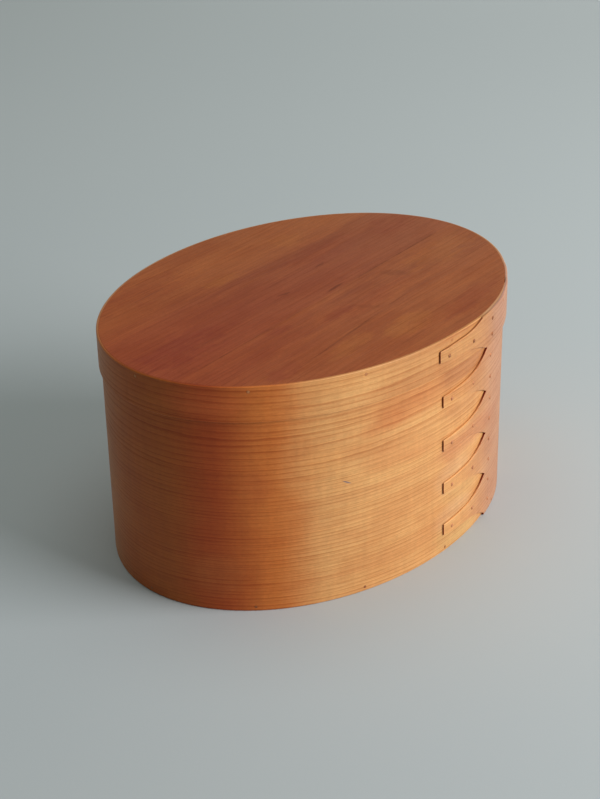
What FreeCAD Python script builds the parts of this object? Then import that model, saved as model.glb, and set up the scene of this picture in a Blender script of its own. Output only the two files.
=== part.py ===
"""Shaker oval box: two steam-bent bands, lapped and tacked over their own ends and pegged to solid boards.

Millimetres, +Z up. The origin is the centre of the oval on the underside of the bottom board, +X runs along
the oval and the lap is on the -Y side. Places along a band are distances round the oval, counted from its
-Y end and growing towards +X. The fingers of the lap point back towards -X.
"""

import FreeCAD
import Part
import math
import os

DRIVING_DIMENSIONS = [
    # overall
    ("lid_length", 320, "length over the lid band"),
    ("lid_width", 235, "width over the lid band, away from the lap"),
    ("closed_height", 155, "height of the closed box"),
    # boards and bands
    ("bottom_board_thickness", 6, "bottom board"),
    ("top_board_thickness", 6.5, "lid board, which rests on the rim of the box band"),
    ("box_band_thickness", 1.5, "box band"),
    ("lid_band_thickness", 1.5, "lid band"),
    ("lid_band_width", 23.5, "lid band from its top to its lower edge"),
    ("lid_clearance", 0.3, "between the box band and the lid band, all round"),
    # lap
    ("lap_gap", 0.12, "between the two layers of a lap"),
    ("feather_edge", 0.4, "thickness left at the inner end of a band"),
    ("relax_length", 12, "length over which a band comes down past the inner end"),
    ("box_lap_tail", 59.4, "inner end of the box band, behind its column of tacks"),
    ("box_feather_length", 45, "length over which that end is thinned"),
    ("lid_lap_tail", 41, "inner end of the lid band, behind its column of tacks"),
    ("lid_feather_length", 30, "length over which that end is thinned"),
    ("lid_bulge_length", 46, "length over which the lid band swells to clear the lap of the box"),
    # swallowtail fingers
    ("box_tip_place", -13.1, "fingertips of the box at the floor"),
    ("lid_tip_place", -18.15, "fingertip of the lid, brought down to the floor along the lean"),
    ("lap_lean_angle", 2.06, "lean of the lap from the upright, degrees"),
    ("lowest_gap_height", 1.6, "point of the gap under the lowest finger of the box"),
    ("highest_gap_depth", 5.1, "point of the gap over the highest finger, below the lid band"),
    ("lid_finger_height", 12.8, "centre of the lid finger above the lower edge of the lid band"),
    ("lid_finger_flare", 31.2, "height to which the lid finger flares out"),
    ("finger_length", 56.5, "from the fingertips to the points of the gaps"),
    ("finger_straight_length", 26, "straight part of a finger's sides"),
    ("fingertip_width", 8, "width of a fingertip"),
    ("finger_taper_angle", 3.4, "slope of the straight sides, degrees"),
    # tacks
    ("tip_tack_setback", 8.4, "first tack of a finger, behind the tip"),
    ("middle_tack_setback", 35.3, "second tack of a finger, behind the tip"),
    ("box_column_margin", 7.2, "column of tacks of the box, behind the points of the gaps"),
    ("lid_column_margin", 4.7, "column of tacks of the lid, behind the points of the gaps"),
    ("lid_column_spacing", 11.2, "tacks in the column of the lid"),
    ("tack_head_radius", 1.6, "copper tack head"),
    ("tack_crown_radius", 1.0, "flat top of the head"),
    ("tack_head_height", 0.6, "head above the wood"),
    ("tack_shank_radius", 0.6, "copper tack shank"),
    ("clinch_length", 2.4, "bent-over end of the shank"),
    ("clinch_width", 0.9, "bent-over end of the shank"),
    ("clinch_thickness", 0.4, "bent-over end of the shank"),
    ("clinch_depth", 0.05, "bent-over end below the inner face"),
    # pegs
    ("peg_radius", 1.0, "wooden peg"),
    ("peg_length", 11, "wooden peg, from the band's outer face into the board"),
    ("first_peg_place", -81.8, "one peg of each ring, from the -Y end of the oval"),
]
FINGER_COUNT = 4
PEG_COUNT = 12
ARC_STEPS = 2880  # steps of the table that turns a distance round the oval into an angle
SAMPLE_LENGTH = 5.0  # spacing of the points through which a band's faces are drawn
OVERRUN = 1.0  # how far a cutter runs past the wood

document = FreeCAD.newDocument("ShakerOvalBox")
sheet = document.addObject("Spreadsheet::Sheet", "Dimensions")
for row, (alias, value, note) in enumerate(DRIVING_DIMENSIONS, start=1):
    sheet.set("A%d" % row, alias)
    sheet.set("B%d" % row, str(value))
    sheet.setAlias("B%d" % row, alias)
    sheet.set("C%d" % row, note)
document.recompute()


def size(alias):
    """One driving dimension, read from the sheet."""
    return float(sheet.get(alias))


def smooth(share):
    """Eased step from 0 to 1."""
    share = min(1.0, max(0.0, share))
    return share * share * (3.0 - 2.0 * share)


def add(kind, name, **expressions):
    """A document object whose properties are bound to expressions of the sheet."""
    thing = document.addObject(kind, name)
    for prop, expression in expressions.items():
        thing.setExpression(prop, expression)
    return thing


def add_shape(name, shape):
    """A Part::Feature that holds a shape made with Part's own functions."""
    feature = document.addObject("Part::Feature", name)
    feature.Shape = shape
    return feature


def extrude(name, base, length, start="0"):
    """Straight extrusion of a face, upwards."""
    thing = add("Part::Extrusion", name, LengthFwd=length)
    thing.Base = base
    thing.DirMode = "Custom"
    thing.Dir = FreeCAD.Vector(0, 0, 1)
    thing.Solid = True
    thing.setExpression("Placement.Base.z", start)
    return thing


def boolean(kind, name, base, tool):
    """Cut or common of two objects."""
    thing = document.addObject(kind, name)
    thing.Base = base
    thing.Tool = tool
    return thing


# ------------------------------------------------------------------------------------------------
# The oval and what is drawn on it


class Oval:
    """The inner face of the box band: an ellipse, with places on it given as distances round it."""

    def __init__(self, half_length, half_width):
        self.half_length = half_length
        self.half_width = half_width
        self.angles = [2.0 * math.pi * step / ARC_STEPS - math.pi / 2.0 for step in range(ARC_STEPS + 1)]
        self.distances = [0.0]
        for before, after in zip(self.angles, self.angles[1:]):
            along = half_length * (math.cos(after) - math.cos(before))
            across = half_width * (math.sin(after) - math.sin(before))
            self.distances.append(self.distances[-1] + math.hypot(along, across))
        self.perimeter = self.distances[-1]

    def angle(self, distance):
        distance = distance % self.perimeter
        low, high = 0, ARC_STEPS
        while high - low > 1:
            middle = (low + high) // 2
            if self.distances[middle] <= distance:
                low = middle
            else:
                high = middle
        share = (distance - self.distances[low]) / (self.distances[high] - self.distances[low])
        return self.angles[low] + share * (self.angles[high] - self.angles[low])

    def normal(self, distance):
        angle = self.angle(distance)
        outward = FreeCAD.Vector(self.half_width * math.cos(angle), self.half_length * math.sin(angle), 0)
        return outward.normalize()

    def point(self, distance, offset=0.0, height=0.0):
        angle = self.angle(distance)
        along = self.half_length * math.cos(angle)
        across = self.half_width * math.sin(angle)
        return FreeCAD.Vector(along, across, height) + self.normal(distance) * offset


BAND_BUILD_UP = size("box_band_thickness") + size("lid_clearance") + size("lid_band_thickness")
oval = Oval(size("lid_length") / 2.0 - BAND_BUILD_UP, size("lid_width") / 2.0 - BAND_BUILD_UP)


def ribbon(inside, outside):
    """Face between two smooth curves, each drawn through a row of points."""
    curves = []
    for points in (inside, outside):
        curve = Part.BSplineCurve()
        curve.interpolate(points)
        curves.append(curve.toShape())
    ends = [Part.LineSegment(inside[end], outside[end]).toShape() for end in (0, -1)]
    return Part.Face(Part.Wire(Part.sortEdges(curves + ends)[0]))


def span(start, end):
    """Evenly spaced distances from start to end, both included."""
    count = max(2, int(math.ceil(abs(end - start) / SAMPLE_LENGTH)))
    return [start + (end - start) * step / count for step in range(count + 1)]


class Band:
    """A strip bent round a base contour so that its outer end laps over its feathered inner end."""

    def __init__(self, prefix, finger_flare, base):
        self.thickness = size(prefix + "_band_thickness")
        self.feather_length = size(prefix + "_feather_length")
        self.tip_place = size(prefix + "_tip_place")
        self.column_setback = size("finger_length") + size(prefix + "_column_margin")
        self.inner_end = self.tip_place + self.column_setback + size(prefix + "_lap_tail")
        self.finger_flare = finger_flare
        self.base = base

    def inner_layer(self, distance):
        """Thickness of the inner layer, which thins towards its end."""
        share = smooth((self.inner_end - distance) / self.feather_length)
        return size("feather_edge") + (self.thickness - size("feather_edge")) * share

    def lift(self, distance):
        """How far the outer layer stands off the base contour."""
        if distance <= self.inner_end:
            return self.inner_layer(distance) + size("lap_gap")
        left = 1.0 - smooth((distance - self.inner_end) / size("relax_length"))
        return (size("feather_edge") + size("lap_gap")) * left

    def tip(self, height):
        """Place of the leaning line of the fingertips at one height."""
        return self.tip_place - height * math.tan(math.radians(size("lap_lean_angle")))

    def behind_gaps(self, setback):
        return setback > size("finger_length")

    def surface(self, distance, on_outer_layer):
        """Offset of the outer face at a place in the lap or elsewhere."""
        in_lap = self.tip(size("closed_height")) < distance < self.inner_end + size("relax_length")
        lifted = self.lift(distance) if in_lap and on_outer_layer else 0.0
        return self.base(distance) + lifted + self.thickness

    def profile(self):
        """Face of the strip seen from above, from its inner end round the oval to the fingertips."""
        second_turn = self.inner_end + size("relax_length") - oval.perimeter
        last = self.tip(size("closed_height")) - OVERRUN - oval.perimeter
        inside, outside = [], []
        for distance in span(self.inner_end, last):
            if distance > second_turn:
                low = self.base(distance)
                high = low + self.inner_layer(distance)
            else:
                low = self.base(distance + oval.perimeter) + self.lift(distance + oval.perimeter)
                high = low + self.thickness
            inside.append(oval.point(distance, low))
            outside.append(oval.point(distance, high))
        return ribbon(inside, outside)

    def slab(self):
        """Face that holds the outer layer of the lap and nothing of the inner one."""
        first = self.tip(size("closed_height")) - 2.0 * OVERRUN
        last = self.tip(0.0) + size("finger_length") + 2.0 * OVERRUN
        inside, outside = [], []
        for distance in span(first, last):
            low = self.base(distance) + self.thickness + size("lap_gap") / 2.0
            inside.append(oval.point(distance, low))
            outside.append(oval.point(distance, low + self.thickness + size("lap_gap") + OVERRUN))
        return ribbon(inside, outside)

    def flat_point(self, setback, height):
        """A place in the middle of the outer layer, brought straight onto the plane that touches the lap."""
        centre = self.tip(height) + size("finger_length") / 2.0
        touch = self.tip(size("closed_height") / 2.0) + size("finger_length") / 2.0
        normal = oval.normal(touch)
        to_middle = self.thickness + self.thickness / 2.0
        place = oval.point(self.tip(height) + setback, self.base(centre) + to_middle, height)
        flat = oval.point(touch, self.base(touch) + to_middle, 0.0)
        return place - normal * normal.dot(place - flat)

    def waste(self, finger_heights, low, high):
        """Face of all that is cut away to leave the fingers, on the plane that touches the lap's middle."""
        fingers = sorted(finger_heights, reverse=True)
        far_left = self.tip(size("closed_height")) - self.tip(0.0) - 2.0 * OVERRUN
        low_corner = self.flat_point(far_left, low)
        high_corner = self.flat_point(far_left, high)
        above = self.flat_point(size("finger_length"), max(high, fingers[0] + self.finger_flare))
        below = self.flat_point(size("finger_length"), min(low, fingers[-1] - self.finger_flare))
        upper_point = self.finger_side(fingers[0], 1.0)[0][0]
        outline = [(low_corner, high_corner), (high_corner, above), (above, upper_point)]
        for centre in fingers:
            upper = self.finger_side(centre, 1.0)
            lower = [piece[::-1] for piece in reversed(self.finger_side(centre, -1.0))]
            outline += upper + [(upper[-1][-1], lower[0][0])] + lower
        outline += [(outline[-1][-1], below), (below, low_corner)]
        edges = [Part.Arc(*piece) if len(piece) == 3 else Part.LineSegment(*piece) for piece in outline]
        return Part.Face(Part.Wire([edge.toShape() for edge in edges]))

    def finger_side(self, centre, side):
        """One side of a finger, from the point of the gap to the tip: an arc and then a straight line."""
        taper = math.radians(size("finger_taper_angle"))
        straight = size("finger_straight_length")
        tip_half = size("fingertip_width") / 2.0
        start_half = tip_half + straight * math.tan(taper)
        run = size("finger_length") - straight
        rise = self.finger_flare / 2.0 - start_half
        radius = (run * run + rise * rise) / (2.0 * (rise * math.cos(taper) - run * math.sin(taper)))
        turn = 2.0 * math.atan2(rise, run) - 2.0 * taper
        middle_run = radius * (math.sin(taper + turn / 2.0) - math.sin(taper))
        middle_rise = radius * (math.cos(taper) - math.cos(taper + turn / 2.0))
        gap_point = self.flat_point(size("finger_length"), centre + side * self.finger_flare / 2.0)
        arc_middle = self.flat_point(straight + middle_run, centre + side * (start_half + middle_rise))
        arc_end = self.flat_point(straight, centre + side * start_half)
        tip = self.flat_point(0.0, centre + side * tip_half)
        return [(gap_point, arc_middle, arc_end), (arc_end, tip)]


def box_base(distance):
    """The box band is bent on the oval itself."""
    return 0.0


rim_height = size("closed_height") - size("top_board_thickness")
lid_bottom = size("closed_height") - size("lid_band_width")
lid_middle = lid_bottom + size("lid_band_width") / 2.0
finger_pitch = (lid_bottom - size("highest_gap_depth") - size("lowest_gap_height")) / FINGER_COUNT
box = Band("box", finger_pitch, box_base)


def lid_base(distance):
    """The lid band is bent round the box band and clears its lap."""
    distance = (distance + oval.perimeter / 2.0) % oval.perimeter - oval.perimeter / 2.0
    bulge_end = box.tip(size("closed_height")) + size("finger_length") - 2.0 * OVERRUN
    share = smooth((distance - bulge_end) / size("lid_bulge_length") + 1.0)
    return size("box_band_thickness") + size("lid_clearance") + box.lift(distance) * share


lid = Band("lid", size("lid_finger_flare"), lid_base)


# ------------------------------------------------------------------------------------------------
# Fasteners: one of each is modelled upright, with its outward end up, and copies are set round the oval


def place_on(band, distance, height, on_outer_layer=True):
    """Placement of a fastener on a band's outer face, square to it."""
    turn = FreeCAD.Rotation(FreeCAD.Vector(0, 0, 1), oval.normal(distance))
    return FreeCAD.Placement(oval.point(distance, band.surface(distance, on_outer_layer), height), turn)


def copies(name, master, places):
    """A group of separate copies of a master."""
    shapes = []
    for place in places:
        shape = master.Shape.copy()
        shape.Placement = place.multiply(shape.Placement)
        shapes.append(shape)
    return add_shape(name, Part.Compound(shapes))


def make_tack(prefix, band_thickness):
    """A tack that grips two layers, clinched flush inside, and the cutter for its hole."""
    grip = "2 * Dimensions.%s + Dimensions.lap_gap" % band_thickness
    head = add(
        "Part::Cone",
        prefix + "_head",
        Radius1="Dimensions.tack_head_radius",
        Radius2="Dimensions.tack_crown_radius",
        Height="Dimensions.tack_head_height",
    )
    shank = add(
        "Part::Cylinder",
        prefix + "_shank",
        Radius="Dimensions.tack_shank_radius",
        Height="%s - Dimensions.clinch_depth" % grip,
    )
    shank.setExpression("Placement.Base.z", "-(%s - Dimensions.clinch_depth)" % grip)
    clinch = add(
        "Part::Box",
        prefix + "_clinch",
        Length="Dimensions.clinch_length",
        Width="Dimensions.clinch_width",
        Height="Dimensions.clinch_thickness",
    )
    clinch.setExpression("Placement.Base.y", "-Dimensions.clinch_width / 2")
    clinch.setExpression("Placement.Base.z", "-(%s - Dimensions.clinch_depth)" % grip)
    tack = document.addObject("Part::MultiFuse", prefix)
    tack.Shapes = [head, shank, clinch]

    bore = add(
        "Part::Cylinder",
        prefix + "_bore",
        Radius="Dimensions.tack_shank_radius",
        Height="%s + %g" % (grip, 2.0 * OVERRUN),
    )
    seam_upright = FreeCAD.Rotation(FreeCAD.Vector(0, 0, 1), 90)
    bore.Placement = FreeCAD.Placement(FreeCAD.Vector(0, 0, 0), seam_upright)
    bore.setExpression("Placement.Base.z", "-(%s + %g)" % (grip, OVERRUN))
    recess = add(
        "Part::Box",
        prefix + "_recess",
        Length="Dimensions.clinch_length",
        Width="Dimensions.clinch_width",
        Height="Dimensions.clinch_thickness + Dimensions.clinch_depth + %g" % OVERRUN,
    )
    recess.setExpression("Placement.Base.y", "-Dimensions.clinch_width / 2")
    recess.setExpression("Placement.Base.z", "-(%s + %g)" % (grip, OVERRUN))
    hole = document.addObject("Part::MultiFuse", prefix + "_hole")
    hole.Shapes = [bore, recess]
    return tack, hole


def make_peg():
    """A wooden peg and the cutter for its hole."""
    peg = add("Part::Cylinder", "peg", Radius="Dimensions.peg_radius", Height="Dimensions.peg_length")
    peg.setExpression("Placement.Base.z", "-Dimensions.peg_length")
    hole_depth = "Dimensions.peg_length + %g" % OVERRUN
    hole = add("Part::Cylinder", "peg_hole", Radius="Dimensions.peg_radius", Height=hole_depth)
    hole.setExpression("Placement.Base.z", "-Dimensions.peg_length")
    return peg, hole


def finger_tack_places(band, finger_heights):
    """Two tacks on the centreline of each finger."""
    setbacks = (size("tip_tack_setback"), size("middle_tack_setback"))
    return [place_on(band, band.tip(z) + setback, z) for z in finger_heights for setback in setbacks]


def column_places(band, centre, spacing, count):
    """A column of tacks behind the gaps, which follows the lean of the lap."""
    heights = [centre + (number - (count - 1) / 2.0) * spacing for number in range(count)]
    return [place_on(band, band.tip(z) + band.column_setback, z) for z in heights]


def peg_places(band, height):
    """A ring of pegs. One that falls between the fingers goes through the inner layer alone."""
    places = []
    for number in range(PEG_COUNT):
        distance = size("first_peg_place") + number * oval.perimeter / PEG_COUNT
        distance = (distance + oval.perimeter / 2.0) % oval.perimeter - oval.perimeter / 2.0
        behind_gaps = band.behind_gaps(distance - band.tip(height))
        places.append(place_on(band, distance, height, behind_gaps))
    return places


# ------------------------------------------------------------------------------------------------
# The pieces


def fingered_strip(prefix, band, width, start, finger_heights, low, high):
    """A bent strip whose outer end is cut into fingers."""
    profile = add_shape(prefix + "_profile", band.profile())
    strip = extrude(prefix + "_strip", profile, width, start)
    slab_face = add_shape(prefix + "_lap_profile", band.slab())
    slab_height = "%s + %g" % (width, 2.0 * OVERRUN)
    slab = extrude(prefix + "_lap", slab_face, slab_height, "%s - %g" % (start, OVERRUN))
    waste_face = band.waste(finger_heights, low - OVERRUN, high + OVERRUN)
    normal = oval.normal(band.tip(size("closed_height") / 2.0) + size("finger_length") / 2.0)
    reach = size("finger_length") / 2.0
    prism = waste_face.translated(normal * -reach).extrude(normal * (2.0 * reach))
    waste = boolean("Part::Common", prefix + "_waste", slab, add_shape(prefix + "_waste_prism", prism))
    return boolean("Part::Cut", prefix + "_fingers", strip, waste)


def drilled(name, blank, tools):
    """A piece with the holes of its fasteners."""
    holes = add_shape(name + "_holes", Part.Compound(tools))
    return boolean("Part::Cut", name, blank, holes)


tack, tack_hole = make_tack("tack", "box_band_thickness")
lid_tack, lid_tack_hole = make_tack("lid_tack", "lid_band_thickness")
peg, peg_hole = make_peg()
document.recompute()

box_fingers = [size("lowest_gap_height") + (number + 0.5) * finger_pitch for number in range(FINGER_COUNT)]
lid_finger = lid_bottom + size("lid_finger_height")
box_finger_places = finger_tack_places(box, box_fingers)
box_column = column_places(box, sum(box_fingers) / FINGER_COUNT, finger_pitch / 2.0, 2 * FINGER_COUNT)
lid_finger_places = finger_tack_places(lid, [lid_middle])
lid_column = column_places(lid, lid_middle, size("lid_column_spacing"), 2)
bottom_ring = peg_places(box, size("bottom_board_thickness") / 2.0)
lid_ring = peg_places(lid, size("closed_height") - size("top_board_thickness") / 2.0)

pieces = {
    "box_finger_tacks": copies("box_finger_tacks", tack, box_finger_places),
    "box_lap_tacks": copies("box_lap_tacks", tack, box_column),
    "bottom_pegs": copies("bottom_pegs", peg, bottom_ring),
    "lid_finger_tacks": copies("lid_finger_tacks", lid_tack, lid_finger_places),
    "lid_lap_tacks": copies("lid_lap_tacks", lid_tack, lid_column),
    "lid_pegs": copies("lid_pegs", peg, lid_ring),
}
bottom_holes = copies("bottom_peg_holes", peg_hole, bottom_ring)
lid_holes = copies("lid_peg_holes", peg_hole, lid_ring)
box_tack_holes = copies("box_tack_holes", tack_hole, box_finger_places + box_column)
lid_tack_holes = copies("lid_tack_holes", lid_tack_hole, lid_finger_places + lid_column)

# box band
box_strip = fingered_strip(
    "box_band",
    box,
    "Dimensions.closed_height - Dimensions.top_board_thickness",
    "0",
    box_fingers,
    0.0,
    rim_height,
)
pieces["box_band"] = drilled("box_band", box_strip, [box_tack_holes.Shape, bottom_holes.Shape])

# lid band
lid_strip = fingered_strip(
    "lid_band",
    lid,
    "Dimensions.lid_band_width",
    "Dimensions.closed_height - Dimensions.lid_band_width",
    [lid_finger],
    lid_bottom,
    size("closed_height"),
)
pieces["lid_band"] = drilled("lid_band", lid_strip, [lid_tack_holes.Shape, lid_holes.Shape])

# bottom board
bottom_outline = add(
    "Part::Ellipse",
    "bottom_outline",
    MajorRadius="Dimensions.lid_length / 2 - Dimensions.lid_band_thickness - Dimensions.lid_clearance"
    " - Dimensions.box_band_thickness",
    MinorRadius="Dimensions.lid_width / 2 - Dimensions.lid_band_thickness - Dimensions.lid_clearance"
    " - Dimensions.box_band_thickness",
)
bottom_blank = extrude("bottom_blank", bottom_outline, "Dimensions.bottom_board_thickness")
pieces["box_bottom"] = drilled("box_bottom", bottom_blank, [bottom_holes.Shape])

# lid board
lid_places = span(-oval.perimeter / 2.0, oval.perimeter / 2.0)[:-1]
lid_curve = Part.BSplineCurve()
lid_curve.interpolate([oval.point(place, lid_base(place)) for place in lid_places], PeriodicFlag=True)
top_outline = add_shape("top_outline", Part.Face(Part.Wire([lid_curve.toShape()])))
top_blank = extrude(
    "top_blank",
    top_outline,
    "Dimensions.top_board_thickness",
    "Dimensions.closed_height - Dimensions.top_board_thickness",
)
pieces["lid_top"] = drilled("lid_top", top_blank, [lid_holes.Shape])

for node, piece in pieces.items():
    piece.Label = node
document.recompute()

# ------------------------------------------------------------------------------------------------
# Checks and export

faults = [thing.Name for thing in document.Objects if "Invalid" in thing.State or "Error" in thing.State]
for node, piece in pieces.items():
    if piece.Shape.isNull() or not piece.Shape.isValid():
        faults.append(node)
    elif not node.endswith(("tacks", "pegs")) and len(piece.Shape.Solids) != 1:
        faults.append("%s has %d solids" % (node, len(piece.Shape.Solids)))
if faults:
    raise RuntimeError("not sound: " + ", ".join(faults))

os.makedirs("parts", exist_ok=True)
for node, piece in pieces.items():
    piece.Shape.exportStep(os.path.join("parts", node + ".step"))
    solids = piece.Shape.Solids
    print("%-18s %2d solids  %10.2f mm3" % (node, len(solids), sum(solid.Volume for solid in solids)))
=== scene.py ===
"""Shaker oval box in a pale studio: steam-bent cherry bands, pegged cherry boards and copper tacks.

Metres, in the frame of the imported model. A place on a band is a distance round the oval, counted from its
-Y end and growing towards +X, and a height. A band starts at its inner end, goes round the oval with
falling distance and ends at its fingertips, one turn and a lap later.
"""

import math
import random
from dataclasses import dataclass
from typing import Callable

import bpy
import numpy as np
from mathutils import Matrix, Vector
from mathutils.geometry import delaunay_2d_cdt


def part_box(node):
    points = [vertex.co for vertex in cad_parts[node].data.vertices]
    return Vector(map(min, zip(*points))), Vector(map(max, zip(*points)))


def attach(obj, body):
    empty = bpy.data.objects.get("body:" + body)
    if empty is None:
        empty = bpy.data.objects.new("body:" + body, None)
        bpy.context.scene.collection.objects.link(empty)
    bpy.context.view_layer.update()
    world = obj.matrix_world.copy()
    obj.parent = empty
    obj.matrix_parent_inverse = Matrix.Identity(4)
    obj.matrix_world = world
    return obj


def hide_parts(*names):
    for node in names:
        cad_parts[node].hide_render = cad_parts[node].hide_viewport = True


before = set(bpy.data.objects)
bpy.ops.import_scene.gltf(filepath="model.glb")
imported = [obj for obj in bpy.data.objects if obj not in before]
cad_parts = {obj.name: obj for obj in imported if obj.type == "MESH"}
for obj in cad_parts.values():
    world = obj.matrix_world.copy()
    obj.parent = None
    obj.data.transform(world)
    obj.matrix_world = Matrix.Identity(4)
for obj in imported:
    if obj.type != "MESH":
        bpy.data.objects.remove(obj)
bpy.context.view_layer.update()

MM = 0.001

# ---- Sizes ----

BOARD_LOW, BOARD_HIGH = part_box("box_bottom")
TOP_LOW, TOP_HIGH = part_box("lid_top")
RIM_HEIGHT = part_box("box_band")[1].z
LID_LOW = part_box("lid_band")[0].z
LID_HIGH = TOP_HIGH.z

BAND_THICKNESS = 1.5 * MM
LID_CLEARANCE = 0.3 * MM
LAP_GAP = 0.12 * MM  # between the two layers of a lap
FEATHER_EDGE = 0.4 * MM  # thickness left at the inner end of a band
RELAX_LENGTH = 12 * MM  # length over which a band comes down past its inner end
LID_BULGE_LENGTH = 46 * MM  # length over which the lid band swells to clear the lap of the box

LEAN = math.tan(math.radians(2.06))  # the lap leans back towards -X as it rises
FINGER_LENGTH = 56.5 * MM
FINGER_STRAIGHT = 26 * MM  # straight part of a finger's sides
FINGER_TAPER = math.radians(3.4)
TIP_HALF = 4 * MM
TIP_CORNER = 0.8 * MM
BOX_FINGER_PITCH = 31.2 * MM
LOWEST_FINGER = 17.2 * MM
LID_FINGER = LID_LOW + 12.8 * MM
LID_FINGER_FLARE = 31.2 * MM
FINGER_COUNT = 4

TIP_TACK_SETBACK = 8.4 * MM
MIDDLE_TACK_SETBACK = 35.3 * MM
BOX_COLUMN_SETBACK = FINGER_LENGTH + 7.2 * MM
LID_COLUMN_SETBACK = FINGER_LENGTH + 4.7 * MM
LID_COLUMN_SPACING = 11.2 * MM

PEG_RADIUS = 1.0 * MM
PEG_LENGTH = 11 * MM
PEG_COUNT = 12
FIRST_PEG = -81.8 * MM
BOTTOM_PEGS = (BOARD_LOW.z + BOARD_HIGH.z) / 2  # height of each ring of pegs
LID_PEGS = (TOP_LOW.z + TOP_HIGH.z) / 2

EDGE_RADIUS = 0.28 * MM  # sanded edges of the bands
LOWER_RADIUS = 0.52 * MM  # worn lower edges of the bands
ROUNDED_SHARE = 0.35  # of a strip's thickness, at most, goes into a rounded edge
FOOT_WIDTH = 0.9 * MM  # the box stands on a more worn edge
TIP_BEVEL = 0.4 * MM  # the cut tips and points keep a crisp edge
LEDGE_WIDTH = 0.7 * MM  # knife bevel along the upper sides of the fingers
LEDGE_DEPTH = 1.2 * MM
LEDGE_SLOPE = 0.12  # slope of a side at which its knife bevel starts to fade
LEDGE_FADE = 0.30
THINNED_LENGTH = 7 * MM  # the fingers are sanded thinner over this length from their tips
THINNED_DEPTH = 0.42 * MM
RIM_RADIUS = 0.7 * MM  # softened outer side of the lid's rim
RIM_CLOSED = 0.9 * LAP_GAP  # the two layers of the rim are sanded as one
SHARP = 0.08 * MM
BOARD_EDGE_RADIUS = 0.15 * MM
SEAM = 0.04 * MM  # between a board and its band

ROUNDING_STEPS = 3
TURNED_SEGMENTS = 24
SHANK_SEGMENTS = 10
HOLE_POINTS = 20
FINGER_STEP = 1.2 * MM  # between the points of an outline
BAND_STEP = 4 * MM
BOARD_STEP = 2.5 * MM
SAME_POINT = 0.02 * MM
BAND_SPACING = (4 * MM, 7 * MM)  # between the points inside an outline
BOARD_SPACING = (9 * MM, 9 * MM)
CLEAR_OF_RINGS = 0.45  # share of the spacing that is kept free along outlines and holes


def smooth(share):
    """Eased step from 0 to 1."""
    share = np.clip(share, 0.0, 1.0)
    return share * share * (3.0 - 2.0 * share)


def unit(vectors):
    """The same directions, of length 1."""
    return vectors / np.linalg.norm(vectors, axis=-1, keepdims=True)


# ---- The oval and the bands bent on it ----


class Oval:
    """The inner face of the box band: an ellipse, with places on it given as distances round it."""

    STEPS = 4096

    def __init__(self, half_length, half_width):
        self.half_length = half_length
        self.half_width = half_width
        self.turns = np.linspace(-math.pi / 2, 1.5 * math.pi, self.STEPS + 1)
        corners = np.stack([half_length * np.cos(self.turns), half_width * np.sin(self.turns)], axis=1)
        steps = np.linalg.norm(np.diff(corners, axis=0), axis=1)
        self.distances = np.concatenate([[0.0], np.cumsum(steps)])
        self.perimeter = self.distances[-1]

    def wrapped(self, distance):
        """The same place, less than half a turn from the start."""
        return np.mod(distance + self.perimeter / 2, self.perimeter) - self.perimeter / 2

    def turn(self, distance):
        return np.interp(np.mod(distance, self.perimeter), self.distances, self.turns)

    def outward(self, distance):
        turn = self.turn(distance)
        normal = [self.half_width * np.cos(turn), self.half_length * np.sin(turn), 0 * turn]
        return unit(np.stack(normal, axis=-1))

    def point(self, distance, offset, height):
        turn = self.turn(distance)
        on_oval = [self.half_length * np.cos(turn), self.half_width * np.sin(turn), height]
        return np.stack(on_oval, axis=-1) + self.outward(distance) * np.asarray(offset)[..., None]


oval = Oval((BOARD_HIGH.x - BOARD_LOW.x) / 2, (BOARD_HIGH.y - BOARD_LOW.y) / 2)
LAP = -oval.perimeter  # from a place in the inner layer of a lap to the same place in the outer one


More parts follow.
